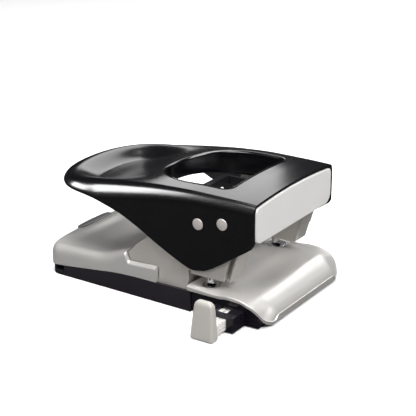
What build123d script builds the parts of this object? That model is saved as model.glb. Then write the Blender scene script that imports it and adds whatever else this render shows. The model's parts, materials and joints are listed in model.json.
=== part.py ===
from build123d import *
import math
import os

# Two-hole desk punch. X runs across the punch, +Y points to the grip end and -Y to the
# paper side, +Z is up. The origin lies on the desk, midway between the two punch pins.

# ---- Clearances (mm) ----
running = 0.05             # radial running fit of pins, axles and rods
side_gap = 0.4             # between the handle's side walls and the frame
seam = 0.2                 # between covers
sliding = 0.2              # around the guide bar

# ---- Hole pattern and pins ----
hole_spacing = 80.0        # ISO 838 distance between the two holes
half_span = hole_spacing / 2
stop_depth = 12.5          # from the hole centres to the paper stop
pin_diameter = 5.5
pin_tip_z = 19.2
tip_hollow = 1.2           # depth of the ground hollow across the tip
pin_head_size = (8.2, 13.0, 3.0)
pin_head_shift = 1.5       # the head reaches back under the pusher axle
spring_wire = 0.8
spring_slack = 0.6         # on the diameter, between the pin and the spring's inside
spring_mean = pin_diameter + spring_slack + spring_wire
spring_turns = 6.5
die_diameter = 12.0
die_wall = 1.45
die_neck = pin_diameter + 2 * die_wall
die_sink = 0.7             # the die ring's face below the rear edge of the table

# ---- Lever ----
handle_margin = 9.0        # from a hole's centre out to the handle's side
handle_half_width = half_span + handle_margin
handle_wall = 1.6
handle_front_y = -36.0
handle_rear_y = 130.5
shoulder_radius = 5.0
axle_diameter = 6.0
pivot_y, pivot_z = -13.6, 63.2
lever_arm = 17.6
pusher_drop = 3.5
press_angle = 14.5         # full stroke of the handle in degrees
pusher_y, pusher_z = pivot_y + lever_arm, pivot_z - pusher_drop
pusher_gap = 0.1           # between the pusher axle and the pin heads at rest
pin_head_z = pusher_z - axle_diameter / 2 - pusher_gap - pin_head_size[2]
cap_lip = 0.7              # the cap's rim beyond the axle
cap_height = 1.3
panel_thickness = 2.0
panel_proud = 0.4
panel_bottom_z = 53.3
window_front_y = -9.5
window_rear_y = 55.0
window_half_width = 35.0
window_corner = 6.0
window_bow = 41.0          # length of the window's rounded grip end
collar_wall = 1.6
collar_lift = 0.8
collar_bottom_z = 64.2
bracket_front_y = -20.0
bracket_low_z = 54.2
bracket_high_z = collar_bottom_z - 0.5
bridge_z = 68.0            # top of the bracket's front bridge
cheek_wall = 2.0
crossbar_y = 33.5
crossbar_depth = 5.0

# ---- Frame ----
frame_foot_z = 12.0
plate_thickness = 2.5
plate_inner_x = handle_half_width - handle_wall - side_gap - plate_thickness
frame_half_width = plate_inner_x + plate_thickness
column_inner_x = half_span - 4.0
head_inner_x = half_span - 7.0
cheek_x = head_inner_x - 3.0   # outer face of the lever bracket's cheeks
head_bottom_z = 24.5
head_top_z = 48.0
spring_seat_z = 36.0
head_reach = 3.7           # head block's front ahead of the side plate's
recess_depth = 5.0         # side recess between the side plate and the head cover
cover_sheet = 1.0
slot_width = 1.7           # paper slot behind the throat
slot_top_z = 26.5
stop_plate = 2.5
stop_top_z = 40.0
screw_x = (column_inner_x + frame_half_width) / 2
SCREW_Y = (22.0, 48.0)
screw_diameter = 4.0
screw_head_diameter = 7.2
screw_head_height = 2.2
screw_end_z = 22.0

# ---- Base ----
table_half_width = handle_half_width + 2.5
table_front_y = -46.6
table_corner = 12.0
table_rear_y = 10.8
table_rear_z = 17.9
table_lip_z = 6.8          # crease between the roll and the folded lip
base_half_width = handle_half_width + 0.5
base_rear_wall_y = -10.5
deck_half_width = frame_half_width - seam
deck_thickness = 3.0
deck_low_z = frame_foot_z - deck_thickness
deck_rear_y = 80.0
rear_half_width = handle_half_width + 1.5
rear_lip_y = 35.5
rear_end_y = 129.0
cover_wall = 2.4
cover_step_y = 60.0        # behind the columns the cover reaches right across
cover_screw_x = 20.0
cover_screw_y = deck_rear_y - 6.0
cover_screw_diameter = 3.0
cover_screw_end_z = 18.0
cover_boss_diameter = 7.2
tray_half_width = handle_half_width + 1.8
tray_front_y = 8.8
tray_front_z = 13.9
tray_rear_y = rear_end_y - 1.5
tray_wall = 2.0
tray_hinge_y, tray_hinge_z = -7.0, 3.6
hinge_rod = 3.0
hinge_barrel = 6.0
rod_half_length = base_half_width - 1.0
floor_z = 0.6              # lowest edge of the table above the desk
base_low_z = floor_z + 0.4
tray_floor = 1.6           # thickness; the tray's underside lies on the desk
foot_diameter = 12.0
foot_recess = 1.0
FRONT_FEET = [(x, -33.0) for x in (2.0 - half_span, half_span - 2.0)]
TRAY_FEET = [(x, y) for y in (104.0, 24.0) for x in (-half_span, half_span)]

# ---- Side guide ----
paper_half_length = 74.0   # the stop stands at the half length of an A6 sheet
bar_width = 12.0
bar_height = 7.2
bar_centre_y = -20.0
bar_bottom_z = 1.7
bar_inner_x = 30.0
stop_block_height = 26.2
STOP_FOOT = (7.5, 16.2)    # stop's size across and along, at its foot
STOP_CREST = (4.2, 11.8)   # and at its top
snout_x = -base_half_width - 14.0
snout_front_y = bar_centre_y - 11.2
snout_top_z = bar_bottom_z + bar_height + 1.7
detent_x = -10.0
detent_low_z, detent_high_z = bar_bottom_z + 1.9, bar_bottom_z + 5.7
detent_leaf = 0.6
detent_travel = 2.0        # between the leaf and the bar

# ---- Lock slider ----
slider_length = 35.0
slider_width = 6.0
slider_travel = 3.0
slider_top_z = 21.4
slider_y = rear_end_y - 4.4
slider_plate = 1.6

far = 90.0                 # past the punch on every side, for cutting tools
SIDES = (("left", -1), ("right", 1))


def outline_yz(points):
    """Closed flat face in the YZ plane through the given (y, z) corners."""
    return Plane.YZ * make_face(Polyline(*points, close=True))


def prism_x(points, x_low, x_high):
    """The YZ outline pushed along X from x_low to x_high."""
    return Pos(x_low, 0, 0) * extrude(outline_yz(points), x_high - x_low, dir=(1, 0, 0))


def block(x_low, x_high, y_low, y_high, z_low, z_high):
    """Box given by its limits."""
    size = (x_high - x_low, y_high - y_low, z_high - z_low)
    centre = ((x_low + x_high) / 2, (y_low + y_high) / 2, (z_low + z_high) / 2)
    return Pos(*centre) * Box(*size)


def rod_x(radius, y, z, x_low, x_high):
    """Round rod along X."""
    length = x_high - x_low
    return Pos((x_low + x_high) / 2, y, z) * Rot(0, 90, 0) * Cylinder(radius, length)


def rod_z(radius, x, y, z_low, z_high):
    """Round rod along Z."""
    return Pos(x, y, (z_low + z_high) / 2) * Cylinder(radius, z_high - z_low)


def round_end(wide, y, rear, lead, crown):
    """Symmetric rounded end from (wide, y) over (0, rear) to (-wide, y), drawn in a line."""
    Bezier((wide, y), (wide, y + lead), (crown, rear), (0, rear))
    Bezier((0, rear), (-crown, rear), (-wide, y + lead), (-wide, y))


def on_side(solid, side):
    """The solid as drawn on the +X side, or its mirror image on the -X side."""
    return solid if side > 0 else mirror(solid, Plane.YZ)


def save(shape, node):
    export_step(shape, f"parts/{node}.step")


def group(solids):
    return Compound(children=list(solids))


# ---------------------------------------------------------------- handle
# Stations along the handle: y, height of the shoulder rim, rise of the middle over the rim.
HANDLE_STATIONS = (
    (-44.0, 78.0, 4.2), (-20.0, 78.9, 4.0), (5.0, 79.2, 3.6), (31.0, 78.3, 2.4),
    (60.0, 75.2, -1.0), (handle_rear_y - 40.5, 71.0, -4.5), (handle_rear_y - 18.5, 68.8, -4.5),
    (handle_rear_y - 4.5, 68.2, -0.8), (handle_rear_y + 5.5, 68.2, 0.2),
)
# Lower edge of the side walls, from the panel's foot back to the grip end.
HANDLE_LOWER_EDGE = (
    (handle_front_y, 54.0), (-34.6, 51.6), (-32.4, 49.9), (-19.1, 40.9), (-5.4, 32.0), (0.2, 29.4),
    (8.7, 28.2), (14.3, 29.8), (22.9, 33.5), (37.3, 40.5), (51.9, 48.2), (66.8, 54.6),
    (handle_rear_y - 31.7, 61.6), (handle_rear_y + 0.5, 62.4),
)


def handle_section(y, rim, rise, inset):
    """Cross-section at y: crowned or dished top, round shoulders and upright sides."""
    wide = handle_half_width - inset
    top = rim - inset
    turn = shoulder_radius - min(inset, handle_wall)
    flat = wide - turn
    cut = turn * (1 - math.sqrt(0.5))
    with BuildPart() as part:
        with BuildSketch(Plane.XZ.offset(-y)):
            with BuildLine():
                Bezier((-flat, top), (0, top + 2 * rise), (flat, top))
                ThreePointArc((flat, top), (wide - cut, top - cut), (wide, top - turn))
                Polyline((wide, top - turn), (wide, 10), (-wide, 10), (-wide, top - turn))
                ThreePointArc((-wide, top - turn), (cut - wide, top - cut), (-flat, top))
            make_face()
    return part.pending_faces[0]


def handle_plan(inset):
    """Plan of the handle: straight sides and a rounded grip end."""
    wide = handle_half_width - inset
    rear = handle_rear_y - inset
    turn_y = handle_rear_y - 38.5
    with BuildPart() as part:
        with BuildSketch():
            with BuildLine():
                Polyline((-wide, turn_y), (-wide, -far), (wide, -far), (wide, turn_y))
                round_end(wide, turn_y, rear, 26.0, 30.0)
            make_face()
        extrude(amount=120)
    return part.part


def handle_envelope(inset):
    """Outer form of the handle, set in by a wall (negative: lifted outwards)."""
    body = loft([handle_section(y, rim, rise, inset) for y, rim, rise in HANDLE_STATIONS])
    return body & handle_plan(inset)


def below_handle():
    """Everything under the side walls' lower edge."""
    edge = list(HANDLE_LOWER_EDGE)
    return prism_x(edge + [(handle_rear_y + 20, edge[-1][1]), (handle_rear_y + 20, 0.0),
                           (-far, 0.0), (-far, edge[0][1])], -far, far)


def window_plan(grow, z_low, z_high):
    """D-shaped window of the handle: wide at the front, an arc towards the grip."""
    wide = window_half_width + grow
    front = window_front_y - grow
    rear = window_rear_y + grow
    corner = window_corner + grow
    turn_y = window_rear_y - window_bow
    with BuildPart() as part:
        with BuildSketch(Plane.XY.offset(z_low)):
            with BuildLine():
                Line((-wide, turn_y), (-wide, front + corner))
                RadiusArc((-wide, front + corner), (-wide + corner, front), -corner)
                Line((-wide + corner, front), (wide - corner, front))
                RadiusArc((wide - corner, front), (wide, front + corner), -corner)
                Line((wide, front + corner), (wide, turn_y))
                round_end(wide, turn_y, rear, 28.0, 18.0)
            make_face()
        extrude(amount=z_high - z_low)
    return part.part


def handle_shell(outer, inner):
    shell = outer - inner - below_handle()
    shell -= block(-far, far, -far, handle_front_y, 0, 120)
    shell -= window_plan(collar_wall, 20, 120)
    for y, z in ((pivot_y, pivot_z), (pusher_y, pusher_z)):
        shell -= rod_x(axle_diameter / 2, y, z, -far, far)
    return shell


def front_panel(inner):
    """Face plate set in the handle's open front, following its crown."""
    front = handle_front_y - panel_proud
    slab = block(-far, far, front, front + panel_thickness, panel_bottom_z, 120)
    return inner & slab


def window_collar(lifted):
    """Skirt around the handle's window, with a slightly raised rim."""
    ring = window_plan(collar_wall - 0.02, collar_bottom_z, 120)
    ring -= window_plan(0.0, 20, 120)
    ring -= rod_x(axle_diameter / 2 + side_gap, pivot_y, pivot_z, -far, far)
    return ring & lifted


def lever_bracket():
    """Steel channel inside the handle: two cheeks, a front bridge and a rear crossbar."""
    bridge_rear_y = window_front_y - collar_wall - side_gap
    rear_y = crossbar_y + crossbar_depth / 2
    cheek = [(bracket_front_y, 57), (bracket_front_y, bridge_z), (bridge_rear_y, bridge_z),
             (bridge_rear_y, bracket_high_z), (rear_y, bracket_high_z), (rear_y, 58.8),
             (pusher_y + 5, bracket_low_z), (pusher_y - 6, bracket_low_z)]
    solid = prism_x(cheek, -cheek_x, cheek_x)
    solid -= block(-cheek_x + cheek_wall, cheek_x - cheek_wall, bracket_front_y + cheek_wall,
                   rear_y - crossbar_depth, 40, 80)
    for y, z in ((pivot_y, pivot_z), (pusher_y, pusher_z)):
        solid -= rod_x(axle_diameter / 2, y, z, -far, far)
    return solid


def axle(y, z):
    return rod_x(axle_diameter / 2, y, z, -handle_half_width, handle_half_width)


def axle_cap(side, y, z):
    """Domed cap on an axle's end."""
    cap = Rot(0, 90, 0) * Cylinder(axle_diameter / 2 + cap_lip, cap_height)
    cap = fillet(cap.edges().group_by(Axis.X)[-1], cap_height * 0.6)
    cap = Pos(handle_half_width + cap_height / 2, y, z) * cap
    return on_side(cap, side)


# ---------------------------------------------------------------- frame
def throat_front_y(z, reach):
    """Front edges above the throat lean forwards as they rise."""
    return -13.5 - reach - (z - head_bottom_z) * 0.29


def side_frame(side):
    """Die-cast side: column with foot, plate over the throat and boss for the axle."""
    slot_y = stop_depth - slot_width
    boss = axle_diameter / 2 + 4.2
    plate = [
        (stop_depth, frame_foot_z), (57.0, frame_foot_z), (60.0, 27.0), (53.3, 34.5),
        (43.4, 42.5), (36.0, 52.0), (30.0, 61.5), (4.0, 70.0), (pivot_y, pivot_z + boss),
        (pivot_y - boss, pivot_z), (throat_front_y(50.0, 0), 50.0),
        (throat_front_y(head_bottom_z, 0), head_bottom_z), (slot_y, head_bottom_z),
        (slot_y, slot_top_z), (stop_depth, slot_top_z),
    ]
    column = [
        (stop_depth, frame_foot_z), (57.0, frame_foot_z), (60.0, 27.0), (53.3, 34.5),
        (43.4, 42.5), (30.0, 45.0), (stop_depth, 45.0),
    ]
    solid = prism_x(plate, plate_inner_x, frame_half_width)
    solid += prism_x(column, column_inner_x, plate_inner_x)
    solid += rod_x(boss, pivot_y, pivot_z, plate_inner_x, frame_half_width)
    flare_x = tray_half_width - tray_wall - seam
    flare = Plane.XZ * make_face(Polyline((frame_half_width, frame_foot_z),
                                          (flare_x, frame_foot_z),
                                          (flare_x, frame_foot_z + 2.5),
                                          (frame_half_width, frame_foot_z + 8.0), close=True))
    flare_depth = rear_lip_y - stop_depth - seam
    solid += Pos(0, stop_depth, 0) * extrude(flare, flare_depth, dir=(0, 1, 0))
    solid -= rod_x(axle_diameter / 2 + running, pivot_y, pivot_z, 0, far)
    reach = math.hypot(lever_arm, pusher_drop)
    rest = -math.degrees(math.atan2(pusher_drop, lever_arm))
    path = CenterArc((pivot_y, pivot_z), reach, rest - press_angle - 1, press_angle + 2)
    slot = Plane.YZ * SlotArc(path, axle_diameter + 2 * side_gap)
    solid -= extrude(slot, far, dir=(1, 0, 0))
    for y in SCREW_Y:
        solid -= rod_z(screw_diameter / 2, screw_x, y, 0, screw_end_z)
    return on_side(solid, side)


def punch_head(side):
    """Pin guide block: running bore, spring well and a recess at its outer front."""
    slot_y = stop_depth - slot_width
    outline = [
        (throat_front_y(head_bottom_z, head_reach), head_bottom_z + 0.5),
        (throat_front_y(head_top_z, head_reach), head_top_z), (stop_depth, head_top_z),
        (stop_depth, slot_top_z), (slot_y, slot_top_z), (slot_y, head_bottom_z),
        (throat_front_y(head_bottom_z, head_reach - 1.0), head_bottom_z),
    ]
    solid = prism_x(outline, head_inner_x, plate_inner_x)
    solid -= block(frame_half_width - recess_depth, far, -60, -8.0, 0, far)
    solid -= rod_z(pin_diameter / 2 + running, half_span, 0, 0, far)
    solid -= rod_z((spring_mean + spring_wire) / 2 + side_gap / 2, half_span, 0,
                   spring_seat_z, far)
    return on_side(solid, side)


def head_cover(side):
    """Folded sheet over the front of the pin guide block."""
    z_low, z_fold, z_high = head_bottom_z + 0.5, 36.0, head_top_z
    back = head_reach + 0.02
    front = head_reach + cover_sheet
    outline = [
        (throat_front_y(z_low, back), z_low), (throat_front_y(z_high, back), z_high),
        (throat_front_y(z_high, front + 0.5), z_high),
        (throat_front_y(z_fold, front + 0.5), z_fold),
        (throat_front_y(z_fold, front), z_fold), (throat_front_y(z_low, front), z_low),
    ]
    return on_side(prism_x(outline, head_inner_x, frame_half_width), side)


def stop_wall():
    """Back plate between the two columns; its front face is the paper stop."""
    solid = block(-column_inner_x, column_inner_x, stop_depth, stop_depth + stop_plate,
                  frame_foot_z, stop_top_z)
    solid += block(-column_inner_x, column_inner_x, stop_depth, 30.0,
                   frame_foot_z, frame_foot_z + 2.0)
    return solid


def punch_pin(side):
    """Punch pin with a hollow-ground tip."""
    pin = rod_z(pin_diameter / 2, half_span, 0, pin_tip_z, pin_head_z)
    grind = pin_diameter / 2 + 0.65
    pin -= Pos(half_span, 0, pin_tip_z + tip_hollow - grind) * Rot(90, 0, 0) * Cylinder(grind, 20)
    return on_side(pin, side)


def pin_head(side):
    wide, long, high = pin_head_size
    head = Pos(half_span, pin_head_shift, pin_head_z + high / 2) * Box(wide, long, high)
    head = fillet(head.edges().filter_by(Axis.Z), 2.0)
    return on_side(head, side)


def return_spring(side):
    low = spring_seat_z + spring_wire / 2 + running
    high = pin_head_z - spring_wire / 2 - running
    path = Helix((high - low) / spring_turns, high - low, spring_mean / 2)
    section = Plane(path @ 0, z_dir=path % 0) * Circle(spring_wire / 2)
    coil = Pos(0, 0, low) * sweep(section, path, is_frenet=True)
    return Pos(side * half_span, 0, 0) * coil


def die_bush(side):
    """Hardened die ring with a neck in the base."""
    bush = rod_z(die_diameter / 2, half_span, 0, base_top_z, table_rear_z - die_sink)
    bush += rod_z(die_neck / 2, half_span, 0, base_top_z - 4.0, base_top_z)
    bush -= rod_z(pin_diameter / 2 + running, half_span, 0, base_top_z - 1.0, far)
    bush -= rod_z(pin_diameter / 2 + side_gap, half_span, 0, 0, base_top_z - 1.0)
    return on_side(bush, side)


# ---------------------------------------------------------------- base
# Underside of the paper table at its sides, from the rear edge round to the front lip.
TABLE_UNDERSIDE = (
    (table_rear_y, 14.3), (-11.0, 14.3), (-20.0, 15.3), (-26.0, 15.1),
    (table_front_y + 11.6, 12.6), (table_front_y + 7.0, 8.8), (table_front_y + 4.0, 4.4),
    (table_front_y + 5.2, floor_z),
)
base_top_z = TABLE_UNDERSIDE[0][1] - seam   # top of the base under the flat of the table


def table_plan():
    """Plan of the paper table with rounded front corners."""
    centre_y = (table_front_y + table_rear_y) / 2
    plan = Rectangle(2 * table_half_width, table_rear_y - table_front_y)
    plan = Pos(0, centre_y, 0) * plan
    plan = fillet(plan.vertices().group_by(Axis.Y)[0], table_corner)
    return extrude(plan, 60)


def paper_table():
    """Sheet-formed table: flat by the dies, rolled down to a folded front lip."""
    with BuildPart() as part:
        with BuildSketch(Plane.YZ.offset(-table_half_width)):
            with BuildLine():
                Spline((table_rear_y, table_rear_z), (-20.0, 18.9),
                       (table_front_y + 12.6, 17.8), (table_front_y + 4.0, 12.0),
                       (table_front_y, table_lip_z))
                Polyline((table_front_y, table_lip_z), (table_front_y + 2.8, floor_z),
                         *reversed(TABLE_UNDERSIDE), (table_rear_y, table_rear_z))
            make_face()
        extrude(amount=2 * table_half_width)
    solid = part.part & Pos(0, 0, -1) * table_plan()
    for side in (-1, 1):
        solid -= rod_z(die_diameter / 2 + running, side * half_span, 0, 0, far)
    return solid


def bar_space(grow):
    """Cross-section of the guide bar, grown for its channel."""
    return (bar_centre_y - bar_width / 2 - grow, bar_centre_y + bar_width / 2 + grow,
            bar_bottom_z - grow, bar_bottom_z + bar_height + grow)


def base_housing():
    """Base under the table: guide channel and snout, chip holes, and the frame's deck."""
    rear = tray_front_y - seam
    under = [(y + seam, z - seam) for y, z in TABLE_UNDERSIDE[:-1]]
    front = [(rear, base_low_z), (rear, under[0][1])] + under[1:]
    front.append((table_front_y + 5.8, base_low_z))
    solid = prism_x(front, -base_half_width, base_half_width)
    solid += block(snout_x, 0, snout_front_y, base_rear_wall_y, base_low_z, snout_top_z)
    solid += block(-deck_half_width, deck_half_width, 0, deck_rear_y, deck_low_z, frame_foot_z)
    solid -= block(-frame_half_width, frame_half_width, base_rear_wall_y, rear + 1, 0, deck_low_z)
    y_low, y_high, z_low, z_high = bar_space(sliding)
    solid -= block(-far, base_half_width - 2.0, y_low, y_high, z_low, z_high)
    pocket_x = half_span + 5.0
    solid -= block(-pocket_x, pocket_x, table_front_y + 8.6, y_low - 2.0, 3.0, 20)
    solid -= block(snout_x + 5.0, snout_x + 12.5, bar_centre_y - 3.5, bar_centre_y + 4.5, 5, 40)
    solid -= block(detent_x - 4.0, detent_x + 4.0, y_low - 3.0, y_low + 1.0,
                   detent_low_z - side_gap, detent_high_z + side_gap)
    for side in (-1, 1):
        solid -= rod_z(die_neck / 2 + running, side * half_span, 0, 0, 40)
        solid -= on_side(rod_x(hinge_rod / 2, tray_hinge_y, tray_hinge_z, half_span,
                               rod_half_length), side)
        for y in SCREW_Y:
            solid -= rod_z(screw_diameter / 2, side * screw_x, y, 0, 40)
        solid -= rod_z(cover_screw_diameter / 2, side * cover_screw_x, cover_screw_y, 0, 40)
    for x, y in FRONT_FEET:
        solid -= rod_z(foot_diameter / 2, x, y, 0, base_low_z + foot_recess)
    return solid


def feet(points, z_high):
    return group(rod_z(foot_diameter / 2, x, y, 0, z_high) for x, y in points)


def frame_screws():
    """Four screws that hold the frame's feet to the deck."""
    return group(rod_z(screw_diameter / 2, x, y, deck_low_z, screw_end_z)
                 + rod_z(screw_head_diameter / 2, x, y, deck_low_z - screw_head_height, deck_low_z)
                 for x in (-screw_x, screw_x) for y in SCREW_Y)


def cover_screws():
    """Two screws that hold the rear cover's bosses to the deck."""
    return group(rod_z(cover_screw_diameter / 2, x, cover_screw_y, deck_low_z, cover_screw_end_z)
                 + rod_z(2.8, x, cover_screw_y, deck_low_z - 1.8, deck_low_z)
                 for x in (-cover_screw_x, cover_screw_x))


# Lower seam of the rear cover, from the lip at the frame back to the rear end.
COVER_SEAM = ((rear_lip_y, 13.4), (46.8, 13.4), (62.7, 12.9), (87.8, 10.1), (111.9, 7.2),
              (rear_end_y + 11.0, 4.6))
COVER_TOP = ((rear_lip_y, 23.9), (57.4, 22.8), (60.4, 29.2), (71.0, 26.0), (82.0, 23.6),
             (rear_end_y - 29.0, 22.4), (rear_end_y - 17.0, 21.4), (rear_end_y + 11.0, 18.6))


def rear_plan(half_width, rear):
    """Plan of the rear end: rounded corners and a bowed back edge."""
    with BuildPart() as part:
        with BuildSketch():
            with BuildLine():
                Polyline((-half_width, rear - 12.0), (-half_width, -far), (half_width, -far),
                         (half_width, rear - 12.0))
                round_end(half_width, rear - 12.0, rear, 9.5, half_width - 11.0)
            make_face()
        extrude(amount=60)
    return part.part


def rear_cover():
    """Cover behind the frame: side lips beside the columns, dished top, open underneath."""
    outer = prism_x(COVER_TOP + tuple(reversed(COVER_SEAM)), -rear_half_width, rear_half_width)
    outer = outer & rear_plan(rear_half_width, rear_end_y)
    inner_x = frame_half_width + side_gap
    inner_top = [(y, z - cover_wall) for y, z in COVER_TOP[2:]]
    inner = prism_x([(0.0, inner_top[0][1])] + inner_top + [(rear_end_y + 11, 0.0), (0.0, 0.0)],
                    -inner_x, inner_x)
    inner = inner & rear_plan(inner_x, rear_end_y - cover_wall)
    solid = outer - inner
    solid -= block(-inner_x, inner_x, 0, cover_step_y + seam, 0, far)
    slot_low = slider_y - slider_width / 2 - slider_travel - seam
    slot_high = slider_y + slider_width / 2 + seam
    solid -= block(-slider_length / 2 - seam, slider_length / 2 + seam, slot_low, slot_high,
                   15, 40)
    for side in (-1, 1):
        x, y = side * cover_screw_x, cover_screw_y
        boss = rod_z(cover_boss_diameter / 2, x, y, frame_foot_z, 23.4)
        solid += boss - rod_z(cover_screw_diameter / 2, x, y, 0, cover_screw_end_z)
    return solid


def lock_slider():
    """Oval thumb slide with a retaining plate under the cover's skin."""
    (y_a, z_a), (y_b, z_b) = COVER_TOP[-2:]
    cover_top = z_a + (z_b - z_a) * (slider_y + 1.0 - y_a) / (y_b - y_a)
    plate_top = cover_top - cover_wall - 0.64
    pad = extrude(SlotOverall(slider_length, slider_width), slider_top_z - plate_top)
    pad = fillet(pad.edges().group_by(Axis.Z)[-1], 1.0)
    pad = Pos(0, slider_y, plate_top) * pad
    return pad + block(-slider_length / 2 - 2.0, slider_length / 2 + 2.0, slider_y - 5.0,
                       slider_y + 1.0, plate_top - slider_plate, plate_top)


def chip_tray():
    """Tub that closes the underside, with a tongue under the dies and a finger notch."""
    wall_top = [(y, z - seam) for y, z in COVER_SEAM[1:]]
    outline = [(tray_front_y, 0.0), (tray_front_y, tray_front_z)] + wall_top
    outer = prism_x(outline + [(wall_top[-1][0], 0.0)], -tray_half_width, tray_half_width)
    outer = outer & rear_plan(tray_half_width, tray_rear_y)
    inner_x = tray_half_width - tray_wall
    cavity = block(-inner_x, inner_x, -20, wall_top[-1][0], tray_floor, 60)
    cavity = cavity & rear_plan(inner_x, tray_rear_y - tray_wall)
    tongue_x = deck_half_width - 0.5
    tongue = block(-tongue_x, tongue_x, tray_hinge_y, tray_front_y + 1.0, 0.0, 6.0)
    tongue += rod_x(hinge_barrel / 2, tray_hinge_y, tray_hinge_z, -tongue_x, tongue_x)
    tongue -= block(tray_wall - tongue_x, tongue_x - tray_wall, tray_hinge_y + 3.4, 20,
                    tray_floor, 20)
    solid = outer - cavity
    solid += tongue
    solid -= block(-far, 3.0 - inner_x, tray_rear_y - 16, tray_rear_y - 9, 3.0, 20)
    solid -= rod_x(hinge_rod / 2 + running, tray_hinge_y, tray_hinge_z, -far, far)
    for x, y in TRAY_FEET:
        solid -= rod_z(foot_diameter / 2, x, y, 0, foot_recess)
    return solid


def tray_rod():
    return rod_x(hinge_rod / 2, tray_hinge_y, tray_hinge_z, -rod_half_length, rod_half_length)


# ---------------------------------------------------------------- side guide
def guide_bar():
    """Sliding scale bar with detent notches along its front face."""
    y_low, y_high, z_low, z_high = bar_space(0.0)
    bar = block(-paper_half_length - 3.0, bar_inner_x, y_low, y_high, z_low, z_high)
    for x in (3.5 - paper_half_length, 7.0 - paper_half_length, detent_x, detent_x + 20.0):
        bar -= block(x - 0.8, x + 0.8, y_low - 1, y_low + 0.8, 0, 20)
    return bar


def guide_stop():
    """Tapered upright stop on the bar's outer end."""
    inner_x = -paper_half_length
    foot = Pos(inner_x - STOP_FOOT[0] / 2, bar_centre_y + 0.4, floor_z) * Rectangle(*STOP_FOOT)
    crest = Rectangle(*STOP_CREST)
    crest = Pos(inner_x - 2.9 - STOP_CREST[0] / 2, bar_centre_y - 1.2, stop_block_height) * crest
    solid = loft([foot, crest])
    solid = fillet(solid.edges().group_by(Axis.Z)[-1], 1.8)
    y_low, y_high, z_low, z_high = bar_space(0.0)
    return solid - block(inner_x - 3.0, 0, y_low, y_high, z_low, z_high)


def guide_detent():
    """Leaf spring whose nose rides on the bar's front face."""
    y_low = bar_space(0.0)[0]
    back = y_low - sliding - detent_travel
    leaf = block(detent_x - 16, detent_x + 16, back - detent_leaf, back,
                 detent_low_z, detent_high_z)
    nose = block(detent_x - 2.5, detent_x + 2.5, back - detent_leaf, y_low - running,
                 detent_low_z, detent_high_z)
    return leaf + nose


def main():
    os.makedirs("parts", exist_ok=True)
    outer = handle_envelope(0.0)
    inner = handle_envelope(handle_wall)
    lifted = handle_envelope(-collar_lift)
    save(handle_shell(outer, inner), "handle_shell")
    save(front_panel(handle_envelope(handle_wall + seam)), "front_panel")
    save(window_collar(lifted), "window_collar")
    save(lever_bracket(), "lever_bracket")
    save(axle(pivot_y, pivot_z), "pivot_axle")
    save(axle(pusher_y, pusher_z), "pusher_axle")
    save(group(axle_cap(side, y, z) for _, side in SIDES
               for y, z in ((pivot_y, pivot_z), (pusher_y, pusher_z))), "axle_caps")
    for name, side in SIDES:
        save(side_frame(side), f"side_frame_{name}")
        save(punch_head(side), f"punch_head_{name}")
        save(head_cover(side), f"head_cover_{name}")
        save(punch_pin(side), f"punch_pin_{name}")
        save(pin_head(side), f"pin_head_{name}")
        save(return_spring(side), f"return_spring_{name}")
        save(die_bush(side), f"die_bush_{name}")
    save(stop_wall(), "stop_wall")
    save(paper_table(), "paper_table")
    save(base_housing(), "base_housing")
    save(feet(FRONT_FEET, base_low_z + foot_recess), "front_feet")
    save(feet(TRAY_FEET, foot_recess), "tray_feet")
    save(frame_screws(), "frame_screws")
    save(cover_screws(), "cover_screws")
    save(rear_cover(), "rear_cover")
    save(lock_slider(), "lock_slider")
    save(chip_tray(), "chip_tray")
    save(tray_rod(), "tray_rod")
    save(guide_bar(), "guide_bar")
    save(guide_stop(), "guide_stop")
    save(guide_detent(), "guide_detent")


main()
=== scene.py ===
import json
import math

import bmesh
import bpy
import numpy as np
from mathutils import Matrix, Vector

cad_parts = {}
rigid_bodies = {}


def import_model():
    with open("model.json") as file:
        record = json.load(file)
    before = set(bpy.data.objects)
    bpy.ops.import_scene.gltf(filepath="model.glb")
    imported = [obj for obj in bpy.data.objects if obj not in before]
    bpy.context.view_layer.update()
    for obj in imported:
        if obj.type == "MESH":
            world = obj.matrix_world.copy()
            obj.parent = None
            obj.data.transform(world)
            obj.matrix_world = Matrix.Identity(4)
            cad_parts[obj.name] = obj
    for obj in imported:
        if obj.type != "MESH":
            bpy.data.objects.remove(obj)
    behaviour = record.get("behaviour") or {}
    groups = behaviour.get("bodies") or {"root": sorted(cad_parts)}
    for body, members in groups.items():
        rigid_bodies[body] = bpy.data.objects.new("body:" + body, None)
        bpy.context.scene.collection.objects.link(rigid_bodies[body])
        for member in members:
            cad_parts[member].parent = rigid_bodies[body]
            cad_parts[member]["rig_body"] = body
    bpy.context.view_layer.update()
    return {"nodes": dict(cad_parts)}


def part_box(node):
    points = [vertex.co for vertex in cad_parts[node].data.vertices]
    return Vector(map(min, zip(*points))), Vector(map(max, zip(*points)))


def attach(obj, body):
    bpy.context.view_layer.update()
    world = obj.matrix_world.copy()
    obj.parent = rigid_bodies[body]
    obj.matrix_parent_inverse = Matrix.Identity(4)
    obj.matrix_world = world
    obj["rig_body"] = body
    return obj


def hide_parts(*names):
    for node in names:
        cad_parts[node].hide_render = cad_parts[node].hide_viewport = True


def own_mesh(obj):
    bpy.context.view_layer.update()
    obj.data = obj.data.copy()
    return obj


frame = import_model()

# Two-hole desk punch. Shapes are worked out in millimetres in the frame of the packed
# model: X across the punch, +Y to the grip end, +Z up, origin on the desk between the pins.
MM = 0.001
SIDES = {"left": -1, "right": 1}

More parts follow.
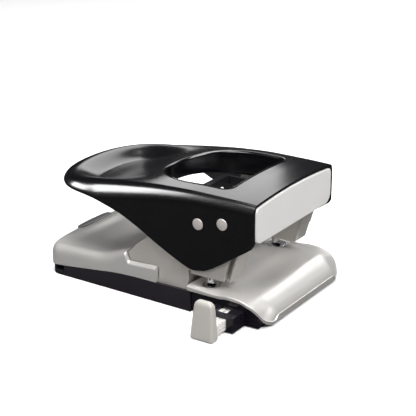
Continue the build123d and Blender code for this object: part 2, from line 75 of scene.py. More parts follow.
# Handle
HANDLE_X = 49.0          # half width
HANDLE_FRONT = -36.0
HANDLE_REAR = 130.5
HANDLE_TURN = 92.0       # where the straight sides pass into the round grip end
HANDLE_CURL = ((-HANDLE_X, HANDLE_TURN), (-HANDLE_X, HANDLE_TURN + 26), (-30, HANDLE_REAR),
               (0, HANDLE_REAR))
HANDLE_GRID = ((HANDLE_FRONT, -29.0, 10), (-29.0, 16.0, 30), (16.0, HANDLE_TURN, 35))
HANDLE_WALL = 1.6
SHOULDER_FRONT, SHOULDER_REAR = 3.6, 6.8   # radius of the rolled shoulder
SHOULDER_GROWS = (-10.0, 105.0)            # stretch along Y over which it grows
BEAD_FRONT, BEAD_REAR = 6.0, 12.0          # height of the rolled bead above the flank
BEAD_GROWS = (-15.0, 90.0)
BEAD_CLEAR = 0.3                           # flank left below the bead at the least
ROLL_TURNS = (0, 58, 84, 122)              # degrees where the bead's three arcs meet
ROLL_FRONT, ROLL_REAR = (3.0, 7.0, 0.3), (5.0, 14.0, 2.2)   # relative radii of the arcs
PALM_DEPTH = 6.5
PALM_GROWS = (42.0, 96.0)
PALM_EDGE = (-0.5, 19.0)                   # distances from the shoulder where it eases in
WINDOW_X = 35.0
WINDOW_FRONT, WINDOW_REAR = -9.5, 55.0
WINDOW_TURN = 14.0
WINDOW_CORNER = 6.0
WINDOW_CURL, WINDOW_CROWN = 28.0, 18.0     # pull of the Bezier on the side and at the rear
CORNER_REACH = 5.5       # how far round a front corner the blend to the front edge goes
SKIN_LAP = 0.05          # how far the top skin runs into the collar
COLLAR_WALL = 1.6
COLLAR_LIFT = 0.45
COLLAR_LAP = 1.2         # first line of the collar's outer wall below the top skin
LIP_DEPTH = 1.8
COLLAR_LOW = 64.2
COLLAR_FRONT_RISE = 3.0  # how much higher the front wall ends
PIVOTS = ((-13.6, 63.2), (4.0, 59.7))      # Y and Z of the two axles
PLATE_LOW = 53.3
PLATE_TOP_ROUND, PLATE_LOW_ROUND, PLATE_EDGE = 4.0, 7.0, 0.8
PLATE_FRONT, PLATE_BACK = HANDLE_FRONT - 0.4, HANDLE_FRONT + 1.6
CAP_RADIUS, CAP_HEIGHT, CAP_RIM = 3.7, 1.3, 0.45
# Height of the shoulder rim and rise of the middle over it, along the handle
RIM_Y = np.array([-44.0, -20.0, 5.0, 31.0, 60.0, 90.0, 112.0, 126.0, 136.0])
RIM_Z = np.array([79.0, 79.7, 79.8, 78.5, 75.4, 71.2, 68.9, 68.2, 68.2])
RISE_Y = np.array([-44.0, -20.0, 5.0, 31.0, 62.0, 140.0])
RISE_Z = np.array([2.0, 2.4, 2.8, 2.4, 0.6, 0.0])
# Lower edge of the flanks
LOWER_Y = np.array([-36.0, -34.6, -32.4, -19.1, -5.4, 0.2, 8.7, 14.3, 22.9, 37.3, 51.9, 66.8,
                    98.8, 131.0])
LOWER_Z = np.array([54.0, 51.6, 49.9, 40.9, 32.0, 29.4, 28.2, 29.8, 33.5, 40.5, 48.2, 54.6,
                    61.6, 62.4])

# Paper table
TABLE_X = 51.5
TABLE_FRONT, TABLE_REAR = -46.1, 10.8
TABLE_CORNER = 12.0
TABLE_RIM = 2.4
# Height of the top over the distance from the front edge
ROLL_S = np.array([0.0, 0.8, 2.2, 4.2, 7.0, 10.2, 13.2, 26.6, 57.4])
ROLL_Z = np.array([6.8, 8.6, 10.5, 12.4, 14.7, 16.7, 17.75, 18.85, 17.9])
FOLD_Y = np.array([-46.6, -34.9, -12.7, 6.3, 12.0])
FOLD_X = np.array([36.0, 38.6, 43.8, 50.0, 51.0])
UNDER_Y = np.array([-46.6, -42.6, -39.6, -35.0, -26.0, -20.0, -11.0, 10.8])
UNDER_Z = np.array([0.7, 4.4, 8.8, 12.6, 15.1, 15.3, 14.3, 14.3])
HOLE_X = 40.0            # the punch pins stand at +-HOLE_X, y 0
DIE_RADIUS = 6.0
DIE_BORE = 4.2           # opening left in the sheet under each die ring
SEAT_DEPTH, RECESS_DEPTH = 0.7, 1.0
RIM_INSET = 1.1

# Springs
COIL_LOW, COIL_HIGH = 36.42, 53.15
COIL_WIRE, COIL_MEAN, COIL_TURNS = 0.8, 6.9, 6.5

# Rear cover
COVER_X = 50.5
COVER_FRONT, COVER_STEP, COVER_REAR = 35.5, 60.4, 129.0
COVER_TURN = 117.0
COVER_CURL, COVER_CROWN = 9.5, 39.5        # pull of the Bezier on the side and at the rear
COVER_SPINE_END = 112.0  # end of the middle line that the body spreads from
COVER_WALL = 2.4
DISH_DEPTH = 1.5
SEAM_Y = np.array([35.5, 46.8, 62.7, 87.8, 111.9, 140.0])
SEAM_Z = np.array([13.4, 13.4, 12.9, 10.1, 7.2, 4.6])
TOP_Y = np.array([35.5, 57.4, 60.4, 64.0, 71.0, 82.0, 100.0, 112.0, 121.0, 129.0])
TOP_Z = np.array([23.9, 22.8, 28.6, 28.0, 25.8, 23.5, 22.5, 21.9, 21.3, 20.5])

# Thumb slide
SLIDE_LENGTH, SLIDE_WIDTH, SLIDE_Y = 35.0, 6.0, 124.6

# Guide
BAR_Y, BAR_Z = -20.0, 1.7
BAR_WIDTH, BAR_HEIGHT = 12.0, 7.2
BAR_LOW_X, BAR_HIGH_X = -77.0, 30.0
NOTCH_X, NOTCH_DEPTH = (-70.5, -67.0, -30.0, -10.0, 10.0), 0.7
TICK_FROM, TICK_TO, TICK_STEP = -72.0, 28.0, 2.0
STOP_X = -74.0
STOP_FOOT, STOP_SHAFT, STOP_HEIGHT, STOP_CREST = 0.6, 22.6, 26.2, 3.6

# Stage and camera
FLOOR_SEEN, FLOOR_LIGHT, FLOOR_MIRRORED = 0.95, 0.45, 0.03   # paint by kind of ray
SKY_SEEN, SKY_LIGHT = 1.0, 0.035
CAMERA_PLACE = (-0.6332, -0.3915, 0.3369)
CAMERA_TILT, CAMERA_TURN = 69.30, -56.41
CAMERA_LENS, CAMERA_SENSOR = 107.2, 36.0


# ------------------------------------------------------------------ numbers
def flow(x, xs, ys):
    """Smooth curve through (xs, ys): cubic pieces whose slope at each knot is the harmonic
    mean of the slopes beside it, and flat where those differ in sign."""
    x = np.clip(np.asarray(x, float), xs[0], xs[-1])
    h = np.diff(xs)
    slope = np.diff(ys) / h
    product, total = slope[1:] * slope[:-1], slope[1:] + slope[:-1]
    inner = np.where(product > 0, 2 * product / np.where(total == 0, 1, total), 0.0)
    knot = np.concatenate(([slope[0]], inner, [slope[-1]]))
    i = np.clip(np.searchsorted(xs, x, side="right") - 1, 0, len(h) - 1)
    t = (x - xs[i]) / h[i]
    return (ys[i] * (1 + 2 * t) * (1 - t) ** 2 + ys[i + 1] * t * t * (3 - 2 * t)
            + h[i] * (knot[i] * t * (1 - t) ** 2 + knot[i + 1] * t * t * (t - 1)))


def ease(x, low, high):
    """0 below low, 1 above high, 3t^2 - 2t^3 between."""
    t = np.clip((np.asarray(x, float) - low) / (high - low), 0.0, 1.0)
    return t * t * (3 - 2 * t)


def bezier(points, t):
    """Cubic Bezier: the weights (1-t)^3, 3t(1-t)^2, 3t^2(1-t), t^3 on four points."""
    weight = np.stack([(1 - t) ** 3, 3 * t * (1 - t) ** 2, 3 * t * t * (1 - t), t ** 3], 1)
    return weight @ np.array(points, float)


def outward(path, closed=False):
    """Unit normals to the right of a plan path: its tangent turned by -90 degrees."""
    if closed:
        tangent = np.roll(path, -1, 0) - np.roll(path, 1, 0)
    else:
        tangent = np.gradient(path, axis=0)
    tangent /= np.linalg.norm(tangent, axis=1)[:, None]
    return np.stack([tangent[:, 1], -tangent[:, 0]], 1)


def resample(path, share):
    """Points at the given shares of the path's length."""
    step = np.concatenate(([0.0], np.cumsum(np.linalg.norm(np.diff(path, axis=0), axis=1))))
    at = np.asarray(share) * step[-1]
    return np.stack([np.interp(at, step, path[:, k]) for k in (0, 1)], 1)


def rounded(width, depth, radius, steps=8):
    """Closed rounded rectangle about the origin: four quarter circles joined by lines."""
    angle = np.linspace(0, np.pi / 2, steps)
    corner = np.stack([np.cos(angle), np.sin(angle)], 1) * radius
    arm = np.array([width / 2 - radius, depth / 2 - radius])
    turned = []
    for quarter, sign in enumerate(((1, 1), (-1, 1), (-1, -1), (1, -1))):
        c, s = math.cos(quarter * math.pi / 2), math.sin(quarter * math.pi / 2)
        turned.append(corner @ np.array([[c, s], [-s, c]]) + arm * np.array(sign))
    return np.concatenate(turned)


# ------------------------------------------------------------------ meshes
def lattice(rows, columns, wrap):
    """Four corners of each cell of a rows x columns grid; wrap joins the last column to
    the first."""
    index = np.arange(rows * columns).reshape(rows, columns)
    right = np.roll(index, -1, 1) if wrap else index[:, 1:]
    left = index if wrap else index[:, :-1]
    cells = np.stack([left[:-1], right[:-1], right[1:], left[1:]], -1)
    return cells.reshape(-1, 4)


def make_mesh(name, patches, weld=0.002, facing_up=False, bores=()):
    """Mesh from grids of points in millimetres. A patch is (points, wrap) or points alone.
    Patches are joined where their points meet, and faces are turned outwards: an open skin
    is turned so that its faces, taken together, look up. A bore is (x, y, radius) left open."""
    points, cells, start = [], [], 0
    for patch in patches:
        grid, wrap = patch if isinstance(patch, tuple) else (patch, False)
        points.append(grid.reshape(-1, 3))
        cells.append(lattice(grid.shape[0], grid.shape[1], wrap) + start)
        start += grid.shape[0] * grid.shape[1]
    points = np.concatenate(points) * MM
    cells = np.concatenate(cells)
    for x, y, radius in bores:
        middle = points[cells].mean(1)[:, :2] / MM - (x, y)
        cells = cells[np.hypot(middle[:, 0], middle[:, 1]) > radius]
    mesh = bpy.data.meshes.new(name)
    mesh.vertices.add(len(points))
    mesh.vertices.foreach_set("co", points.astype(np.float32).ravel())
    mesh.loops.add(cells.size)
    mesh.loops.foreach_set("vertex_index", cells.astype(np.int32).ravel())
    mesh.polygons.add(len(cells))
    mesh.polygons.foreach_set("loop_start", np.arange(0, cells.size, 4, dtype=np.int32))
    mesh.update(calc_edges=True)
    shape = bmesh.new()
    shape.from_mesh(mesh)
    bmesh.ops.remove_doubles(shape, verts=shape.verts, dist=weld * MM)
    bmesh.ops.dissolve_degenerate(shape, edges=shape.edges, dist=1e-7)
    bmesh.ops.recalc_face_normals(shape, faces=shape.faces)
    shape.to_mesh(mesh)
    shape.free()
    mesh.validate()
    if facing_up:
        normal = np.empty(3 * len(mesh.polygons), np.float32)
        area = np.empty(len(mesh.polygons), np.float32)
        mesh.polygons.foreach_get("normal", normal)
        mesh.polygons.foreach_get("area", area)
        if (normal[2::3] * area).sum() < 0:
            mesh.flip_normals()
    return mesh


def smooth(mesh, angle=32):
    """Smooth shading with sharp edges past the angle, in degrees."""
    mesh.polygons.foreach_set("use_smooth", np.ones(len(mesh.polygons), bool))
    mesh.set_sharp_from_angle(angle=math.radians(angle))


def place(name, mesh, body, material, nodes=(), wall=0.0, edge=0.0, edge_angle=35,
          shade_angle=32):
    """Object at the origin that rides on a body; wall thickens inwards, edge rounds corners."""
    smooth(mesh, shade_angle)
    piece = bpy.data.objects.new(name, mesh)
    bpy.context.scene.collection.objects.link(piece)
    piece.data.materials.append(material)
    if wall:
        thick = piece.modifiers.new("wall", "SOLIDIFY")
        thick.thickness = wall * MM
        thick.offset = -1
        thick.use_even_offset = False
        thick.use_quality_normals = True
    if edge:
        bevel = piece.modifiers.new("edge", "BEVEL")
        bevel.width = edge * MM
        bevel.segments = 3
        bevel.limit_method = "ANGLE"
        bevel.angle_limit = math.radians(edge_angle)
        bevel.harden_normals = True
    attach(piece, body)
    if nodes:
        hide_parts(*nodes)
    return piece


def softened(node, material, edge=0.4, edge_angle=30):
    """The CAD node's own form, merged and with its edges rounded."""
    mesh = frame["nodes"][node].data.copy()
    mesh.name = node + "_form"
    mesh.materials.clear()
    shape = bmesh.new()
    shape.from_mesh(mesh)
    bmesh.ops.remove_doubles(shape, verts=shape.verts, dist=2e-6)
    bmesh.ops.dissolve_limit(shape, angle_limit=math.radians(0.6), verts=shape.verts,
                             edges=shape.edges)
    shape.to_mesh(mesh)
    shape.free()
    body = frame["nodes"][node]["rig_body"]
    return place(node + "_form", mesh, body, material, [node], edge=edge,
                 edge_angle=edge_angle)


def lathe(profile, centre, axis="z", steps=48):
    """Profile of (radius, height) turned round an axis through the centre."""
    profile = np.array(profile, float)
    angle = np.linspace(0, 2 * np.pi, steps, endpoint=False)
    radius, height = profile[:, 0:1], profile[:, 1:2]
    across, along = radius * np.cos(angle), radius * np.sin(angle)
    up = np.broadcast_to(height, across.shape)
    order = {"z": (across, along, up), "x": (up, across, along)}[axis]
    return np.stack(order, -1) + np.array(centre), True


# ------------------------------------------------------------------ materials
def new_group(name, inputs, outputs):
    """Empty shader node group with float inputs (name, value) and typed outputs."""
    group = bpy.data.node_groups.new(name, "ShaderNodeTree")
    for label, value in inputs:
        socket = group.interface.new_socket(label, in_out="INPUT", socket_type="NodeSocketFloat")
        socket.default_value = value
    for label, kind in outputs:
        group.interface.new_socket(label, in_out="OUTPUT", socket_type="NodeSocket" + kind)
    entry = group.nodes.new("NodeGroupInput")
    leave = group.nodes.new("NodeGroupOutput")
    return group, entry, leave


def grain_group():
    """Moulding grain: fine noise over coarser noise, as a height and as a tone."""
    group, entry, leave = new_group(
        "moulding_grain", [("Scale", 900.0), ("Unevenness", 0.35)],
        [("Height", "Float"), ("Tone", "Float")])
    nodes, links = group.nodes, group.links
    where = nodes.new("ShaderNodeTexCoord")
    fine, wide = nodes.new("ShaderNodeTexNoise"), nodes.new("ShaderNodeTexNoise")
    fine.inputs["Detail"].default_value = 3.0
    wide.inputs["Scale"].default_value = 34.0
    wide.inputs["Detail"].default_value = 4.0
    links.new(where.outputs["Object"], fine.inputs["Vector"])
    links.new(where.outputs["Object"], wide.inputs["Vector"])
    links.new(entry.outputs["Scale"], fine.inputs["Scale"])
    mix = nodes.new("ShaderNodeMix")
    links.new(entry.outputs["Unevenness"], mix.inputs["Factor"])
    links.new(fine.outputs["Fac"], mix.inputs["A"])
    links.new(wide.outputs["Fac"], mix.inputs["B"])
    links.new(mix.outputs["Result"], leave.inputs["Height"])
    links.new(wide.outputs["Fac"], leave.inputs["Tone"])
    return group


def marks_group():
    """Handling marks: soft smudges and short hairline scuffs, as one mask from 0 to 1."""
    group, entry, leave = new_group("handling_marks", [("Amount", 0.5)], [("Mask", "Float")])
    nodes, links = group.nodes, group.links
    where = nodes.new("ShaderNodeTexCoord")
    stretch = nodes.new("ShaderNodeMapping")
    stretch.inputs["Scale"].default_value = (900.0, 60.0, 300.0)
    stretch.inputs["Rotation"].default_value = (0.2, 0.3, 0.5)
    links.new(where.outputs["Object"], stretch.inputs["Vector"])
    smudge, hair = nodes.new("ShaderNodeTexNoise"), nodes.new("ShaderNodeTexNoise")
    smudge.inputs["Scale"].default_value = 55.0
    smudge.inputs["Detail"].default_value = 5.0
    smudge.inputs["Distortion"].default_value = 1.2
    hair.inputs["Scale"].default_value = 1.0
    hair.inputs["Detail"].default_value = 2.0
    links.new(where.outputs["Object"], smudge.inputs["Vector"])
    links.new(stretch.outputs["Vector"], hair.inputs["Vector"])
    soft, sharp = nodes.new("ShaderNodeMapRange"), nodes.new("ShaderNodeMapRange")
    soft.inputs["From Min"].default_value = 0.48
    soft.inputs["From Max"].default_value = 0.75
    sharp.inputs["From Min"].default_value = 0.72
    sharp.inputs["From Max"].default_value = 0.80
    links.new(smudge.outputs["Fac"], soft.inputs["Value"])
    links.new(hair.outputs["Fac"], sharp.inputs["Value"])
    both = nodes.new("ShaderNodeMath")
    both.operation = "MAXIMUM"
    links.new(soft.outputs["Result"], both.inputs[0])
    links.new(sharp.outputs["Result"], both.inputs[1])
    scaled = nodes.new("ShaderNodeMath")
    scaled.operation = "MULTIPLY"
    links.new(both.outputs[0], scaled.inputs[0])
    links.new(entry.outputs["Amount"], scaled.inputs[1])
    links.new(scaled.outputs[0], leave.inputs["Mask"])
    return group


def flake_group():
    """Metal flakes in paint: small cells, each with its own lightness."""
    group, entry, leave = new_group("paint_flakes", [("Scale", 2600.0)], [("Flake", "Float")])
    nodes, links = group.nodes, group.links
    where = nodes.new("ShaderNodeTexCoord")
    cell = nodes.new("ShaderNodeTexVoronoi")
    split = nodes.new("ShaderNodeSeparateColor")
    links.new(where.outputs["Object"], cell.inputs["Vector"])
    links.new(entry.outputs["Scale"], cell.inputs["Scale"])
    links.new(cell.outputs["Color"], split.inputs["Color"])
    links.new(split.outputs["Red"], leave.inputs["Flake"])
    return group


GRAIN, MARKS, FLAKES = grain_group(), marks_group(), flake_group()


def finish(name, colour, second, roughness, spread, metallic=0.0, specular=0.5, coat=0.0,
           coat_roughness=0.1, grain=900.0, bump=0.02, marks=0.5, flakes=0.0, ior=1.5):
    """Surface finish: two tones mixed by broad unevenness and flakes, a roughness that the
    handling marks raise by spread, and a bump from the moulding grain."""
    material = bpy.data.materials.new(name)
    material.use_nodes = True
    nodes, links = material.node_tree.nodes, material.node_tree.links
    shader = nodes["Principled BSDF"]
    shader.inputs["Metallic"].default_value = metallic
    shader.inputs["Specular IOR Level"].default_value = specular
    shader.inputs["IOR"].default_value = ior
    shader.inputs["Coat Weight"].default_value = coat
    shader.inputs["Coat Roughness"].default_value = coat_roughness
    texture, wear = nodes.new("ShaderNodeGroup"), nodes.new("ShaderNodeGroup")
    texture.node_tree, wear.node_tree = GRAIN, MARKS
    texture.inputs["Scale"].default_value = grain
    wear.inputs["Amount"].default_value = marks
    tone = nodes.new("ShaderNodeMix")
    tone.data_type = "RGBA"
    tone.inputs["A"].default_value = (*colour, 1)
    tone.inputs["B"].default_value = (*second, 1)
    factor = texture.outputs["Tone"]
    if flakes:
        speck, blend = nodes.new("ShaderNodeGroup"), nodes.new("ShaderNodeMix")
        speck.node_tree = FLAKES
        blend.inputs["Factor"].default_value = flakes
        links.new(texture.outputs["Tone"], blend.inputs["A"])
        links.new(speck.outputs["Flake"], blend.inputs["B"])
        factor = blend.outputs["Result"]
    links.new(factor, tone.inputs["Factor"])
    links.new(tone.outputs["Result"], shader.inputs["Base Color"])
    rough = nodes.new("ShaderNodeMath")
    rough.operation = "MULTIPLY_ADD"
    rough.inputs[1].default_value = spread
    rough.inputs[2].default_value = roughness
    links.new(wear.outputs["Mask"], rough.inputs[0])
    links.new(rough.outputs[0], shader.inputs["Roughness"])
    relief = nodes.new("ShaderNodeBump")
    relief.inputs["Strength"].default_value = bump
    relief.inputs["Distance"].default_value = 0.0004
    links.new(texture.outputs["Height"], relief.inputs["Height"])
    links.new(relief.outputs["Normal"], shader.inputs["Normal"])
    return material


GLOSS_BLACK = finish("gloss_black", (0.0012, 0.0012, 0.002), (0.002, 0.002, 0.003), 0.20, 0.06,
                     specular=0.5, ior=1.7, grain=200.0, bump=0.004, marks=0.35)
PANEL = finish("satin_silver_panel", (0.80, 0.79, 0.775), (0.90, 0.89, 0.875), 0.34, 0.08,
               metallic=0.30, grain=1500.0, bump=0.05, flakes=0.5, marks=0.4)
SILVER = finish("silver_paint", (0.62, 0.605, 0.58), (0.71, 0.695, 0.67), 0.37, 0.10,
                metallic=0.55, grain=1300.0, bump=0.04, flakes=0.5, marks=0.5)
CAST = finish("cast_silver", (0.46, 0.44, 0.41), (0.55, 0.53, 0.50), 0.42, 0.10,
              metallic=0.45, coat=0.15, coat_roughness=0.2, grain=700.0, bump=0.12, flakes=0.45)
CHROME = finish("polished_steel", (0.66, 0.66, 0.67), (0.76, 0.76, 0.77), 0.14, 0.20,
                metallic=1.0, grain=500.0, bump=0.01)
STEEL = finish("zinc_steel", (0.42, 0.42, 0.43), (0.55, 0.55, 0.56), 0.28, 0.25,
               metallic=1.0, grain=800.0, bump=0.08)
CAP = finish("cap_nickel", (0.66, 0.61, 0.59), (0.74, 0.69, 0.67), 0.36, 0.10,
             metallic=0.5, grain=1600.0, bump=0.08, flakes=0.4)
BRACKET = finish("bracket_enamel", (0.006, 0.006, 0.008), (0.012, 0.012, 0.014), 0.30, 0.20,
                 grain=500.0, bump=0.10)
HOUSING = finish("housing_black", (0.005, 0.004, 0.007), (0.010, 0.009, 0.014), 0.24, 0.20,
                 specular=0.4, grain=1200.0, bump=0.10)
TRAY = finish("tray_black", (0.012, 0.010, 0.014), (0.020, 0.017, 0.022), 0.40, 0.14,
              specular=0.35, grain=1500.0, bump=0.30)
BAR_WHITE = finish("bar_white", (0.66, 0.645, 0.62), (0.72, 0.705, 0.68), 0.36, 0.12,
                   grain=900.0, bump=0.05)
STOP_GREY = finish("stop_grey", (0.40, 0.385, 0.355), (0.46, 0.445, 0.415), 0.42, 0.12,
                   grain=1300.0, bump=0.16)
THUMB = finish("thumb_grey", (0.10, 0.097, 0.094), (0.13, 0.126, 0.122), 0.40, 0.12,
               grain=1200.0, bump=0.14)
RUBBER = finish("foot_rubber", (0.012, 0.012, 0.012), (0.03, 0.03, 0.03), 0.75, 0.10,
                grain=700.0, bump=0.35)
INK = finish("scale_ink", (0.02, 0.02, 0.022), (0.03, 0.03, 0.032), 0.45, 0.1, bump=0.05)


# ------------------------------------------------------------------ handle
def handle_sides():
    """Plan of the handle as an open U: left side, round grip end, right side."""
    near = np.concatenate([np.linspace(a, b, cells + 1)[:-1] for a, b, cells in HANDLE_GRID])
    left = np.stack([np.full(len(near), -HANDLE_X), near], 1)
    half = np.concatenate([left, bezier(HANDLE_CURL, np.linspace(0, 1, 34))])
    return np.concatenate([half, (half * (-1, 1))[-2::-1]])


def window_loop(grow, count=220):
    """Closed plan of the D window, from the middle of its front edge round by the left:
    straight front and sides, corner arcs, and two Bezier curves to the grip side."""
    wide, front, rear = WINDOW_X + grow, WINDOW_FRONT - grow, WINDOW_REAR + grow
    corner = WINDOW_CORNER + grow
    angle = np.linspace(0, np.pi / 2, 12)
    arc = np.stack([corner - wide - corner * np.sin(angle),
                    front + corner - corner * np.cos(angle)], 1)
    curl = bezier([(-wide, WINDOW_TURN), (-wide, WINDOW_TURN + WINDOW_CURL),
                   (-WINDOW_CROWN, rear), (0, rear)], np.linspace(0, 1, 60))
    half = np.concatenate([[(0.0, front)], arc, curl])
    loop = np.concatenate([half, (half * (-1, 1))[-2::-1]])
    return resample(loop, np.linspace(0, 1, count, endpoint=False)), loop


def rim_height(y):
    """Height of the shoulder rim, by the table."""
    return flow(y, RIM_Y, RIM_Z)


def shoulder_radius(y):
    """Radius of the shoulder: it grows smoothly from the front to the grip end."""
    return SHOULDER_FRONT + (SHOULDER_REAR - SHOULDER_FRONT) * ease(y, *SHOULDER_GROWS)


def shoulder_line(sides):
    """The side line moved inwards by the shoulder radius."""
    return sides + outward(sides) * shoulder_radius(sides[:, 1])[:, None]


def handle_top(x, y, inset):
    """Top of the handle: rim height, plus a crown that is a parabola across, minus a palm
    dish that deepens towards the grip end and eases in with the distance from the shoulder,
    which is inset."""
    crown = flow(y, RISE_Y, RISE_Z) * (1 - (x / (HANDLE_X - SHOULDER_FRONT)) ** 2)
    depth = PALM_DEPTH * ease(y, *PALM_GROWS)
    return rim_height(y) + crown - depth * ease(inset, *PALM_EDGE)


def shoulder_distance(points, line):
    """Distance in plan from each point to the nearest point of the line."""
    flat = points.reshape(-1, 2)
    gap = np.linalg.norm(flat[:, None, :] - line[None, :, :], axis=2).min(1)
    return gap.reshape(points.shape[:-1])


def roll_profile(first, second, last):
    """Three arcs of the given radii, turning from level by the angles in ROLL_TURNS, as
    (reach, drop) points scaled to a reach and a drop of 1."""
    cells = 8
    arcs = [np.linspace(a, b, cells + 1)[1:] for a, b in zip(ROLL_TURNS, ROLL_TURNS[1:])]
    angle = np.radians(np.concatenate([ROLL_TURNS[:1], *arcs]))
    middle = (angle[1:] + angle[:-1]) / 2
    step = np.repeat([first, second, last], cells) * np.diff(angle)
    reach = np.concatenate(([0.0], np.cumsum(step * np.cos(middle))))
    drop = np.concatenate(([0.0], np.cumsum(step * np.sin(middle))))
    return np.stack([reach / reach.max(), drop / drop[-1]], 1)


def handle_skin():
    """Top: straight blend in plan from the window to the shoulder line. Skirt: three arcs
    that roll over the shoulder and back under the bead, growing from the front to the grip
    end, then the flank straight down to the lower edge."""
    outer = handle_sides()
    normal = -outward(outer)
    radius = shoulder_radius(outer[:, 1])
    shoulder = shoulder_line(outer)
    _, loop = window_loop(COLLAR_WALL - SKIN_LAP)
    closed = np.concatenate([loop, loop[:1]])
    length = np.linalg.norm(np.diff(closed, axis=0), axis=1).sum()
    corner = (WINDOW_X - WINDOW_CORNER + CORNER_REACH) / length
    edge_x = HANDLE_X - radius[0]
    front_x = np.linspace(-edge_x, edge_x, 45)
    front = np.stack([front_x, np.full_like(front_x, HANDLE_FRONT)], 1)
    step = np.concatenate(([0], np.cumsum(np.linalg.norm(np.diff(outer, axis=0), axis=1))))
    inner_sides = resample(closed, corner + (1 - 2 * corner) * step / step[-1])
    inner_front = resample(closed, np.mod(-front_x / front_x[-1] * corner, 1.0))
    rows = np.linspace(0, 1, 34)[:, None, None]
    patches = []
    for inner, edge in ((inner_sides, shoulder), (inner_front, front)):
        plan = inner[None] * (1 - rows) + edge[None] * rows
        height = handle_top(plan[..., 0], plan[..., 1], shoulder_distance(plan, shoulder))
        patches.append(np.concatenate([plan, height[..., None]], -1))
    rim = handle_top(shoulder[:, 0], shoulder[:, 1], np.zeros(len(shoulder)))
    low = flow(outer[:, 1], LOWER_Y, LOWER_Z)
    growth = ease(outer[:, 1], *BEAD_GROWS)
    bead = BEAD_FRONT + (BEAD_REAR - BEAD_FRONT) * growth
    bead = np.minimum(bead, rim - low - BEAD_CLEAR)
    reach, height = [], []
    for (out_a, drop_a), (out_b, drop_b) in zip(roll_profile(*ROLL_FRONT),
                                                roll_profile(*ROLL_REAR)):
        reach.append(radius * (out_a + (out_b - out_a) * growth))
        height.append(rim - bead * (drop_a + (drop_b - drop_a) * growth))
    flank_reach, flank_top = reach[-1], height[-1]
    for share in np.linspace(0, 1, 16)[1:]:
        reach.append(flank_reach)
        height.append(np.minimum(flank_top, flank_top + (low - flank_top) * share))
    plan = shoulder[None] + normal[None] * np.stack(reach)[..., None]
    patches.append(np.concatenate([plan, np.stack(height)[..., None]], -1))
    mesh = make_mesh("handle_skin", patches, facing_up=True)
    return place("handle_skin", mesh, "handle", GLOSS_BLACK, ["handle_shell"],
                 wall=HANDLE_WALL, edge=0.35, edge_angle=50, shade_angle=40)


def window_skirt():
    """Closed profile carried round the window: upright inner wall, quarter ellipse that
    rolls out to the top skin, outer wall."""
    inner, _ = window_loop(0.0)
    normal = outward(inner, True)
    if normal[0, 1] > 0:
        normal = -normal
    line = shoulder_line(handle_sides())
    roll = [(COLLAR_WALL * (1 - math.cos(a)), LIP_DEPTH * (math.sin(a) - 1) + COLLAR_LIFT)
            for a in np.linspace(0, np.pi / 2, 10)]
    plan_top = inner + normal * COLLAR_WALL
    top = handle_top(plan_top[:, 0], plan_top[:, 1], shoulder_distance(plan_top, line))
    low = COLLAR_LOW + COLLAR_FRONT_RISE * (1 - ease(inner[:, 1], -9.2, -6.0))
    grids = [np.column_stack([inner, low])]
    for offset, rise in roll:
        grids.append(np.column_stack([inner + normal * offset, top + rise]))
    grids.append(np.column_stack([plan_top, top - COLLAR_LAP]))
    grids.append(np.column_stack([plan_top, low]))
    grids.append(grids[0])
    mesh = make_mesh("window_skirt", [(np.stack(grids), True)])
    return place("window_skirt", mesh, "handle", GLOSS_BLACK,
                 ["window_collar"], shade_angle=50)


def face_plate():
    """Front plate: outline with a crowned top and rounded corners, carried over a rounded
    edge; rings shrink to the middle for the front and the back."""
    gap = HANDLE_WALL + 0.6
    wide, low, edge = HANDLE_X - gap, PLATE_LOW, PLATE_EDGE
    top_round, low_round = PLATE_TOP_ROUND, PLATE_LOW_ROUND
    angle = np.linspace(0, np.pi / 2, 9)
    rim = float(rim_height(HANDLE_FRONT)) - gap
    rise = float(flow(HANDLE_FRONT, RISE_Y, RISE_Z))
    crown_x = np.linspace(wide - top_round, 0, 25)
    crown = np.stack([crown_x, rim + rise * (1 - (crown_x / (wide - top_round)) ** 2)], 1)
    lower = np.stack([wide - low_round + low_round * np.sin(angle),
                      low + low_round - low_round * np.cos(angle)], 1)
    upper = np.stack([wide - top_round + top_round * np.cos(angle),
                      rim - top_round + top_round * np.sin(angle)], 1)
    side_z = np.linspace(low + low_round, rim - top_round, 9)[1:-1]
    side = np.stack([np.full_like(side_z, wide), side_z], 1)
    foot_x = np.linspace(0, wide - low_round, 18)[:-1]
    foot = np.stack([foot_x, np.full_like(foot_x, low)], 1)
    half = np.concatenate([foot, lower, side, upper, crown[1:]])
    outline = np.concatenate([half, (half * (-1, 1))[-2:0:-1]])
    normal = outward(outline, True)
    middle = np.array([0.0, (low + rim) / 2])
    centre = np.repeat(middle[None], len(outline), 0)
    rings = [(centre, PLATE_FRONT)]
    for share in (0.35, 0.7, 0.92):
        rings.append((middle + (outline - normal * edge - middle) * share, PLATE_FRONT))
    for a in np.linspace(0, np.pi / 2, 6):
        rings.append((outline - normal * edge * (1 - math.sin(a)),
                      PLATE_FRONT + edge * (1 - math.cos(a))))
    rings += [(outline, PLATE_BACK), (centre, PLATE_BACK)]
    grid = np.stack([np.insert(ring, 1, y, axis=1) for ring, y in rings])
    mesh = make_mesh("face_plate", [(grid, True)])
    return place("face_plate", mesh, "handle", PANEL, ["front_panel"])


